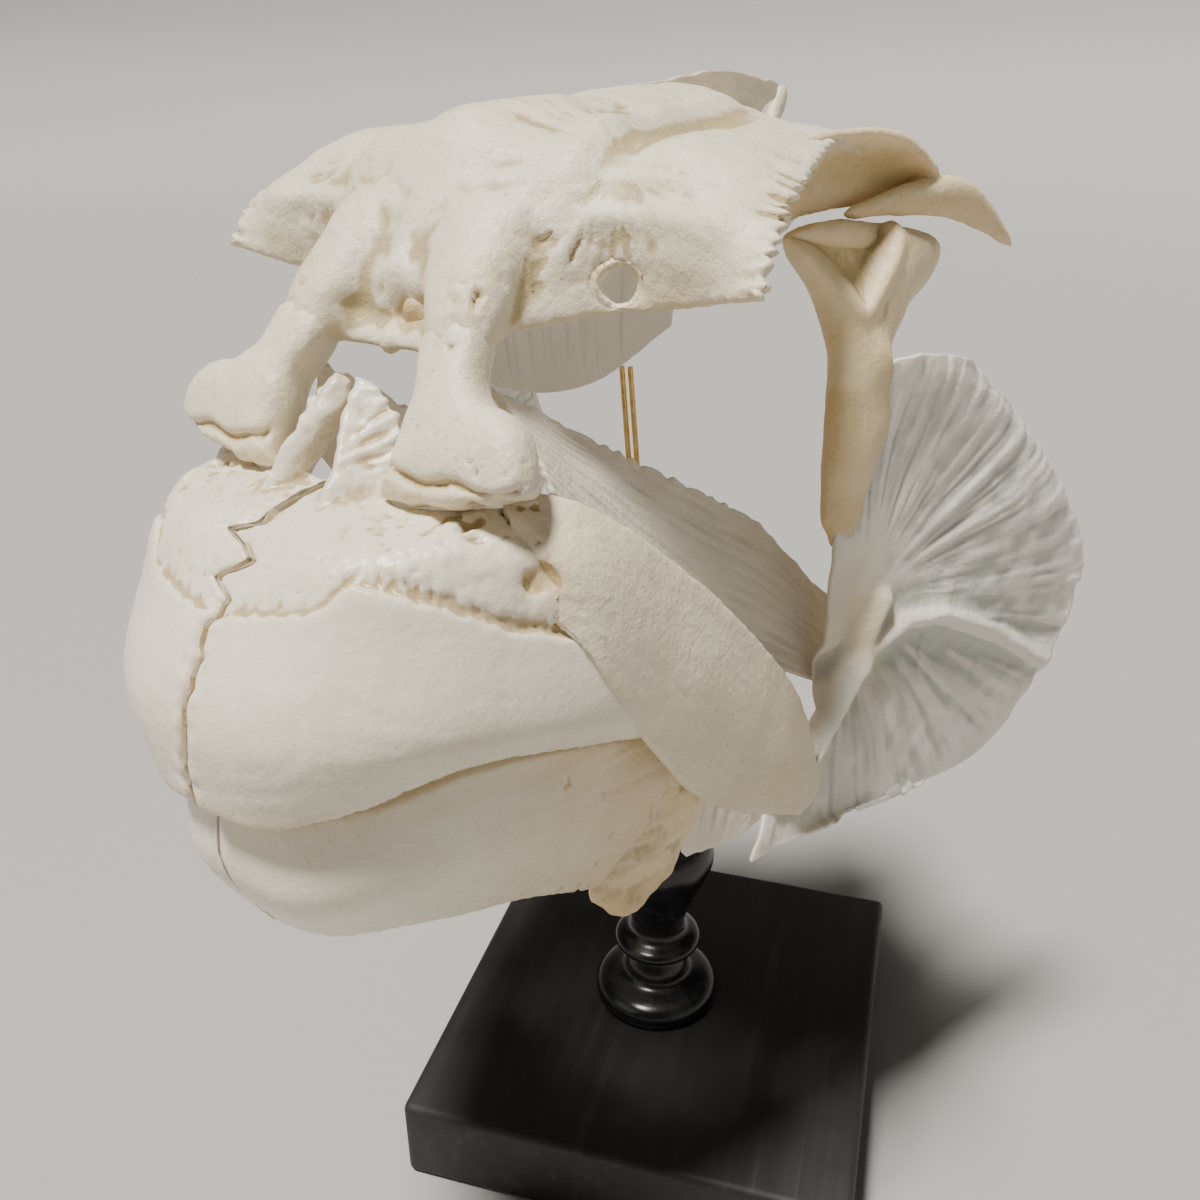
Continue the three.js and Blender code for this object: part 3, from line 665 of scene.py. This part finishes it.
for side, seed in (("left", 30), ("right", 40)):
    beak = plate([past_middle(r) for r in premaxilla_rows], 90, 80, 9, 5)
    beak = carve(beak, [peg(**maxilla_opening)])
    jaw = fuse([beak, plate(ascending_rows, 40, 50, 4.2, 2.4)], 0.42)
    co = soften(jaw, coords(jaw), 6)
    set_coords(jaw, co)
    co, n = coords(jaw), normals(jaw)
    x, y, z = co.T
    outer = step(-0.05, 0.35, n @ np.array([0.35, -0.9, 0.0]) + 0.5 * n[:, 2])
    line = np.interp(x, plate_top_at, plate_top) + 0.35 * grain(co, 1.1, seed) + 0.5 * grain(co, 4, seed + 1)
    depth = line - z
    tooth = step(-0.3, 0.3, depth) * outer
    bands = 0.035 * np.sin(depth * 1.5 + 4 * grain(co, 11, seed + 2))
    bands *= step(-0.4, 0.6, grain(co, 9, seed + 16))
    bands += 0.05 * grain(np.stack([x * 0.8, y * 0.3, z * 0.05], 1), 1.0, seed + 3)
    rough = outer * (1 - tooth)
    groove = np.exp(-((depth + 0.9) / 1.0) ** 2) * step(15.5, 18, x) * outer
    strokes = step(-0.2, 0.6, grain(np.stack([x * 1.3 + y * 0.9, z * 0.25, y * 0.1], 1), 0.8, seed + 9))
    lift = tooth * (0.55 + bands + 0.30 * grain(co, 15, seed + 4))
    furrows = grain(np.stack([x * 1.2, y * 1.2, z * 0.3], 1), 1.0, seed + 13)
    lift += rough * (0.10 * grain(co, 1.2, seed + 5) + 0.26 * grain(co, 5, seed + 6) + 0.10 * furrows)
    lift -= rough * 0.35 * step(0.45, 0.8, grain(co, 0.9, seed + 7)) * step(-0.2, 0.5, grain(co, 6, seed + 8))
    lift -= groove * (0.45 + 0.35 * strokes)
    honeycomb = np.exp(-((x - 24) / 4.5) ** 2) * step(-3.6, -2.2, z) * outer
    lift -= 1.2 * honeycomb * step(0.05, 0.4, grain(co, 1.6, seed + 14))
    rise = step(-0.5, 2.0, z) * step(13, 10, x)
    combed = np.sin((z - 0.55 * x) * 2.3 + 0.8 * grain(co, 3, seed + 10))
    lift += rise * 0.34 * combed * step(4.8, 6.5, x) * step(2, 4.5, z)
    lift += rise * 0.22 * grain(np.stack([x * 0.3, y * 0.4, z * 1.3], 1), 1.0, seed + 15)
    arc = (-66 - y) * 0.6 - z * 0.8
    wave = np.interp(arc, seam_at, seam_out) + 0.60 * grain(np.stack([arc, arc * 0, arc * 0], 1), 1.3, 12)
    wave = np.where(arc < 7, 0.0, wave if side == "left" else -wave)
    gap = 0.35 * step(24, 12, arc) * step(7, 10, arc)
    lift -= 0.9 * np.exp(-((x - wave) / 0.75) ** 2) * outer
    lift += 0.3 * np.exp(-((x - wave - 1.6) / 1.0) ** 2) * outer * grain(co, 1.6, seed + 11)
    co = to_seam(co + n * lift[:, None], wave + gap)
    set_coords(jaw, co)
    # Painted shade along the lower rim, in the groove above the tooth plate's top edge, on the inner faces
    # and deep in the maxilla's opening. The dark seam is the real joint.
    mark = 0.5 * step(-31, -36, z) + 0.8 * groove * strokes + 0.8 * np.exp(-((x - wave) / 0.7) ** 2)
    mark += 0.4 * (1 - outer) + np.exp(-((x - 31.5) ** 2 + (y + 61) ** 2 + (z + 8.5) ** 2) / 14)
    bone("premaxilla_" + side, jaw, pearl, side, "beak", "premaxilla_" + side, stain=np.clip(mark, 0, 1))

# The maxillae: strap-shaped bones that sweep from the palatine's foot to the corner of the mouth.
# Smooth ivory bone, each with one oval opening near its root.
maxilla_rows = [
    [[25, -60, 1], [32, -55, 0], [40, -39, -15], [43.5, -28, -28], [45.5, -18.5, -41], [47, -12, -59]],
    [[30, -65, -4], [37, -58, -8], [42, -46, -24], [45, -35, -40], [46.5, -25, -51], [47.5, -15, -61.5]],
    [[31, -67.5, -10], [38, -61, -18], [41, -52, -34], [42, -41, -49], [44, -30, -57], [47, -19, -63]],
]
for side, seed in (("left", 50), ("right", 60)):
    strap = plate(maxilla_rows, 110, 50, 5, 2.2)
    strap = carve(strap, [peg(**maxilla_opening)])
    strap = fuse([strap], 0.45)
    co = soften(strap, coords(strap), 7)
    set_coords(strap, co)
    co, n = coords(strap), normals(strap)
    x, y, z = co.T
    run = (y + 65) * 0.6 - z * 0.8
    fibres = grain(np.stack([x, (y * 0.8 + z * 0.6) * 1.4, run * 0.12], 1), 1.0, seed + 1)
    lift = 0.22 * grain(co, 7, seed) + 0.07 * fibres
    front_edge = step(-61, -66, y + 0.15 * z)
    lift -= 1.9 * front_edge
    pits = step(-2, 2, z + 5) * step(-56, -60, y)
    lift -= 0.6 * pits * step(0.3, 0.7, grain(co, 1.3, seed + 2))
    set_coords(strap, co + n * lift[:, None])
    # Painted shade in and around the oval opening.
    opening_shade = np.exp(-((x - 31.6) ** 2 + (y + 61.6) ** 2 + (z + 8.4) ** 2) / 9)
    bone("maxilla_" + side, strap, ivory, side, "bone", "maxilla_" + side,
         stain=0.15 + 0.25 * step(40, 60, run) + opening_shade)

# The lower jaw: two dentaries with the beak's lower plate, meeting in a straight seam under the upper one.
# Smooth bone with fine lines that radiate back, and tan toward the joint.
dentary_rows = [
    [[0, -91, -36], [10, -88, -37], [19, -81, -36], [27, -71, -33], [33, -56, -35], [34.6, -39, -41]],
    [[0, -92, -47], [10, -90, -49], [19, -83, -48], [27, -70, -46], [31.5, -55, -47], [34, -37, -52]],
    [[0, -86, -60], [9, -84, -60], [17, -75, -60], [24, -61, -62], [28, -49, -66], [31.5, -37, -66]],
]
for side, seed in (("left", 70), ("right", 80)):
    jaw = fuse([plate([past_middle(r) for r in dentary_rows], 90, 60, 7, 4)], 0.45)
    co = soften(jaw, coords(jaw), 6)
    set_coords(jaw, co)
    co, n = coords(jaw), normals(jaw)
    x, y, z = co.T
    angle = np.arctan2(z + 40, y + 95)
    lines = grain(np.stack([angle * 40, np.hypot(z + 40, y + 95) * 0.06, x * 0.02], 1), 1.0, seed)
    back = step(-75, -45, y)
    lift = 0.10 * lines * back + 0.25 * grain(co, 9, seed + 1)
    lift -= back * 0.5 * step(0.5, 0.85, grain(co, 1.6, seed + 2)) * step(0.1, 0.6, grain(co, 8, seed + 3))
    wave = 0.3 * grain(np.stack([z, z * 0, z * 0], 1), 2.0, 13)
    set_coords(jaw, to_seam(co + n * lift[:, None], wave if side == "left" else -wave))
    # The tan at the back is real. The band along the upper edge, under the overhanging upper beak, is painted
    # shade.
    bone("dentary_" + side, jaw, pearl, side, "beak", "dentary_" + side,
         stain=np.clip(0.75 * back + 0.25 * step(-40, -37, z), 0, 1))

# The joint of the lower jaw: the articular, with the angular's small knob under it.
# Porous tan bone with a broken lower edge.
articular_stations = [(31, -37, -38, 4, 3), (32, -34, -48, 6, 4), (31, -36, -58, 8.5, 3.4),
                      (29, -42, -67, 7.5, 3), (28, -46, -73, 6, 2.6)]
tan_bone = bone_look("warm_bone", (0.82, 0.68, 0.43, 1), (0.54, 0.46, 0.23, 1), (0.66, 0.47, 0.22, 1),
                     0.44, 0.3)
for side, seed in (("left", 90), ("right", 95)):
    joint = fuse([shaft(articular_stations, (0.3, 1, 0))], 0.45)
    co = soften(joint, coords(joint), 4)
    set_coords(joint, co)
    co, n = coords(joint), normals(joint)
    lift = 0.8 * grain(co, 4.0, seed) + 0.22 * grain(co, 1.2, seed + 1)
    set_coords(joint, co + n * lift[:, None])
    bone("articular_" + side, joint, tan_bone, side, "warm_bone", "articular_" + side,
         stain=step(-64, -72, co[:, 2]))

# The quadrates: thin plates that carry the jaw's joints.
# Slightly clear striped bone, glued between the articular and the fan.
quadrate_rows = [
    [[30, -30, -40], [33, -18, -43], [37, -8, -44]],
    [[30, -30, -56], [34, -17, -57], [38, -6, -57]],
    [[30, -27, -73], [34, -18, -73], [39, -7, -68]],
]
for side, seed in (("left", 100), ("right", 105)):
    sheet = plate(quadrate_rows, 60, 60, 4, 1.4, striped(seed, 16, 0.3, 0.4))
    bone("quadrate_" + side, sheet, clear_bone, side, "thin_bone", "quadrate_" + side,
         stain=np.full(len(sheet.vertices), 0.25))

# The hyomandibulae: each hangs from the braincase by a broad hollowed head and narrows to a tan shaft.
# The lower end is broken and splintered.
hyomandibula_stations = [(38, 10, 25, 18, 4), (38.5, 9, 20, 16, 5), (39.5, 7, 13, 9, 5), (41, 4, 5, 5, 4),
                         (42, 2, -6, 5.5, 3.5), (42, 0, -16, 5, 2.5), (42, -2, -23, 3, 2)]
for side, seed in (("left", 110), ("right", 115)):
    strut = fuse([shaft(hyomandibula_stations, (0.3, 0.95, -0.1), 48, 80)], 0.45)
    co = soften(strut, coords(strut), 6)
    set_coords(strut, co)
    co, n = coords(strut), normals(strut)
    x, y, z = co.T
    face = step(0.05, 0.4, n[:, 0])
    left_side = (y + 8) * 0.78 + (z - 24.5) * 0.63
    right_side = (14 - y) * 0.75 + (z - 25.5) * 0.66
    inside = np.minimum(np.minimum(left_side, right_side) - 0.6, 26.0 - z)
    fossa = step(0.0, 3.2, inside) * face
    lift = -3.0 * fossa + 0.12 * fossa * grain(co, 1.3, seed + 4)
    lift += 0.9 * np.exp(-(inside / 1.6) ** 2) * face * step(8, 13, z)
    lift += 1.0 * np.exp(-((y - 4 + 0.2 * (z - 10)) / 1.8) ** 2) * face * step(12, 6, z)
    lift += 0.25 * grain(co, 5, seed) + 0.10 * grain(np.stack([x, y * 1.6, z * 0.25], 1), 1.0, seed + 1)
    co = co + n * lift[:, None]
    frayed = step(-14, -23, z)
    co[:, 2] += frayed * 2.5 * grain(np.stack([y, x, y * 0], 1), 1.2, seed + 2)
    set_coords(strut, co)
    oily = step(16, 4, z) * step(-0.3, 0.5, grain(co, 6, seed + 6) + 0.3)
    # The oily tan is real. The hollow of the head takes painted shade.
    bone("hyomandibula_" + side, strut, tan_bone, side, "warm_bone", "hyomandibula_" + side,
         stain=np.clip(0.75 * oily + 0.35 * fossa, 0, 1))

# The preopercles: thin clear fans behind the cheeks, ribbed outward from the stem, with a thick curved rib
# across each and a ragged rim.
preopercle_rows = [
    [[39, -21, -74], [41, -15, -62], [43, -7, -44], [42.8, -4, -24], [42.6, -1.5, -10], [43.4, 0.5, 2]],
    [[42, -14, -73], [46, -3, -64], [50, 10, -48], [51, 17, -26], [49, 14, -8], [47, 6, 6]],
    [[46, -8, -71], [51, 10, -69], [56, 27, -53], [60, 36, -30], [56, 30, -9], [50, 16, 5]],
    [[49, 2, -71], [58, 32, -73], [64, 47, -58], [66, 55, -40], [60, 43, -18], [52, 23, 3]],
]
rib = [(-14, -58), (-2, -43.7), (9.6, -38.9), (18.2, -39.9), (33.3, -48.5), (44.9, -58.1)]
stem = [(5.4, -33.3), (-1.7, -43.7), (-9, -52), (-16, -64)]


def off_line(line, a, b):
    """Distance from each place to a bent line, and the share of the way along it."""
    best = np.full(a.shape, 1e9)
    share = np.zeros(a.shape)
    for k, ((a0, b0), (a1, b1)) in enumerate(zip(line, line[1:])):
        da, db = a1 - a0, b1 - b0
        t = np.clip(((a - a0) * da + (b - b0) * db) / (da * da + db * db), 0, 1)
        d = np.hypot(a - a0 - t * da, b - b0 - t * db)
        closer = d < best
        best = np.where(closer, d, best)
        share = np.where(closer, (k + t) / (len(line) - 1), share)
    return best, share


for side, seed in (("left", 120), ("right", 130)):
    def fan_shape(skin, u, v):
        y, z = skin[..., 1], skin[..., 2]
        angle, reach = np.arctan2(z + 33, y - 2), np.hypot(z + 33, y - 2)
        flat = np.stack([angle.ravel() * 12, reach.ravel() * 0.05, u.ravel() * 0], 1)
        rays = grain(flat, 1.0, seed).reshape(u.shape)
        rays += 0.6 * grain(flat * [3.1, 1.6, 1], 1.0, seed + 1).reshape(u.shape)
        place = skin.reshape(-1, 3)
        lift = 0.46 * rays * step(5, 22, reach) + 0.25 * grain(place, 3, seed + 2).reshape(u.shape)
        d, share = off_line(rib, y, z)
        lift += 3.4 * np.exp(-(d / 2.0) ** 2) * (1 - 0.7 * share)
        below = step(0, 5, (-38 - 0.45 * np.maximum(y - 14, 0)) - z)
        lift -= 2.6 * np.exp(-((d - 6) / 5) ** 2) * below * step(0.95, 0.5, share)
        d, share = off_line(stem, y, z)
        lift += 2.4 * np.exp(-(d / 1.6) ** 2)
        lift *= 1 - step(0.7, 0.95, v) * step(0.4, 0.2, u)
        out = facing(skin)
        made = skin + out * lift[..., None]
        ribbon = np.stack([u.ravel() * 26, u.ravel() * 0, u.ravel() * 0], 1)
        torn = grain(ribbon, 1.0, seed + 3).reshape(u.shape)
        torn += 0.5 * grain(ribbon * 3, 1.0, seed + 5).reshape(u.shape)
        outward = np.gradient(skin, axis=0)
        outward /= np.linalg.norm(outward, axis=-1, keepdims=True)
        tear = step(0.82, 1.0, v) * step(0.22, 0.36, u) * step(1, 0.94, u)
        made += outward * (tear * (0.9 * torn - 0.4))[..., None]
        return made

    fan = plate(preopercle_rows, 220, 150, 2.0, 0.7, fan_shape)
    co = coords(fan)
    y, z = co[:, 1], co[:, 2]
    yellow = 0.7 * np.exp(-((y - 1) / 6) ** 2 - ((z + 36) / 12) ** 2)
    # Painted shade: grey where the dark behind shows through the thin fan, added to the painted shade in its
    # hollows.
    see_through_shade = np.clip(grain(co, 7, seed + 4) * 0.5 + 0.3, 0, 1) * step(8, 20, np.hypot(z + 33, y - 2))
    bone("preopercle_" + side, fan, clear_bone, side, "thin_bone", "preopercle_" + side, stain=yellow,
         recess=np.clip(crevice(fan) * 0.9 + 0.34 * see_through_shade, -1, 1))

# The pterygoids: thin plates that floor the orbits, streaked along their length.
# Slightly clear bone, glued between the pillar's foot and the fan's stem.
pterygoid_rows = [
    [[17, -52, 11], [20, -35, 0], [25, -17, -12], [29, -3, -22], [38, 6.5, -37]],
    [[21, -50, 5], [25, -36, -9], [29, -22, -21], [33, -9, -31], [40, 1.5, -42.5]],
    [[25, -50, -2], [29, -37, -19], [31, -27, -31], [35, -14, -40], [41.5, -4.5, -46]],
]
for side, seed in (("left", 140), ("right", 145)):
    def streaks(skin, u, v):
        place = skin.reshape(-1, 3)
        lines = grain(np.stack([v.ravel() * 34, u.ravel() * 6, u.ravel() * 0], 1), 1.0, seed).reshape(u.shape)
        out = facing(skin)
        made = skin + out * (0.11 * lines + 0.4 * grain(place, 7, seed + 1).reshape(u.shape))[..., None]
        edge = np.stack([u.ravel() * 60, u.ravel() * 0, u.ravel() * 0], 1)
        worn = step(0.08, 0.0, v) * grain(edge, 1.0, seed + 2).reshape(u.shape)
        made[..., 2] += 0.7 * worn
        return made

    sheet = plate(pterygoid_rows, 150, 80, 1.8, 0.9, streaks)
    bone("pterygoid_" + side, sheet, clear_bone, side, "thin_bone", "pterygoid_" + side,
         stain=np.full(len(sheet.vertices), 0.22))

# The palatines: pillars that spring from the snout's root and widen to a long foot on the upper jaw.
# Ivory bone. Each root, above the pillar's neck, is modelled with the cranium that it grew into.
palatine_stations = [(13.2, -52.4, 19, 3.4, 2.6), (14.3, -54.9, 15.8, 4.7, 3.7),
                     (15.7, -57.6, 12.2, 4.5, 3.7), (17.8, -60.6, 8, 7, 4.2),
                     (20.6, -63.0, 4.0, 11.2, 4.3), (21.6, -64.2, -0.4, 11.4, 4.0)]
for side, seed in (("left", 150), ("right", 155)):
    pillar = fuse([shaft(palatine_stations, (1, 0.05, 0.1), 64, 90, 0.08, 0.62)], 0.38)
    co = soften(pillar, coords(pillar), 5)
    set_coords(pillar, co)
    co, n = coords(pillar), normals(pillar)
    x, y, z = co.T
    front = step(0.0, 0.4, -n[:, 1])
    lift = 0.28 * grain(co, 4.5, seed)
    lift += 0.10 * grain(np.stack([x * 1.3, y * 0.5, z * 0.35], 1), 1.0, seed + 1)
    lift -= 0.4 * step(0.5, 0.8, grain(co, 1.2, seed + 2)) * step(0.0, 0.5, grain(co, 5, seed + 4))
    ledge = np.exp(-((z - 3.4 - 0.5 * np.sin(x * 0.6)) / 0.8) ** 2) * front
    lift -= 1.0 * ledge
    lift += 0.5 * grain(np.stack([x * 0.5, y * 0, z * 0], 1), 1.0, seed + 3) * step(3, 1, z)
    spikes = step(14.5, 19, z) * front
    lift += 0.12 * spikes * np.sin(x * 2.1 + 0.7 + 0.5 * grain(co, 3, seed + 5))
    co = co + n * lift[:, None]
    set_coords(pillar, co)
    bone("palatine_" + side, pillar, ivory, side, "bone", "palatine_" + side,
         stain=np.clip(0.5 * step(4, 0, z) + 0.5 * ledge, 0, 1))

# The sphenotics: cupped tan walls behind the orbits, each drawn out to a spike.
# Oily bone with small teeth along the upper rim, fixed under the wings of the roof, its downward faces tan
# with painted shade.
sphenotic_rows = [
    [[38.5, -14, 37], [40, -4, 37.8], [42, 4.5, 37.4], [44, 10.5, 36], [46.2, 18, 30.8]],
    [[33.5, -14, 33], [35, -4, 33.5], [36.5, 5, 33.5], [39, 12, 32.5], [44, 19.5, 29.6]],
    [[31, -14, 27], [33, -6, 26.5], [35.5, 5, 27], [39, 13.5, 27.2], [43.5, 22, 27.8]],
]
spike_stations = [(37, 4, 26.4, 0.8, 0.8), (42.5, 15, 27.8, 2.6, 1.6), (46.3, 22, 27.4, 3.3, 1.9),
                  (48.6, 30, 23.8, 2.3, 1.5), (51, 38.8, 18.1, 0.4, 0.4)]


def rim_teeth(skin, u, v):
    out = skin.copy()
    rim = step(0.12, 0.0, v) * step(0.3, 0.5, u)
    out[..., 2] += rim * 0.45 * np.abs((u * 26) % 1 - 0.5) * 2
    return out


for side, seed in (("left", 160), ("right", 165)):
    wall = fuse([plate(sphenotic_rows, 80, 50, 2.0, 1.2, rim_teeth),
                 shaft(spike_stations, (0.3, 0, 1), 36, 80, 0.05)], 0.38)
    co = soften(wall, coords(wall), 4)
    set_coords(wall, co)
    co, n = coords(wall), normals(wall)
    lift = 0.18 * grain(co, 4, seed) + 0.07 * grain(co, 1.5, seed + 1)
    set_coords(wall, co + n * lift[:, None])
    # Painted shade on the faces that look down, under the roof's wings.
    hollow_shade = step(0.3, -0.3, n[:, 2]) * step(36.5, 34, co[:, 2])
    bone("sphenotic_" + side, wall, tan_bone, side, "warm_bone", "sphenotic_" + side,
         stain=np.clip(0.8 * hollow_shade, 0, 1))
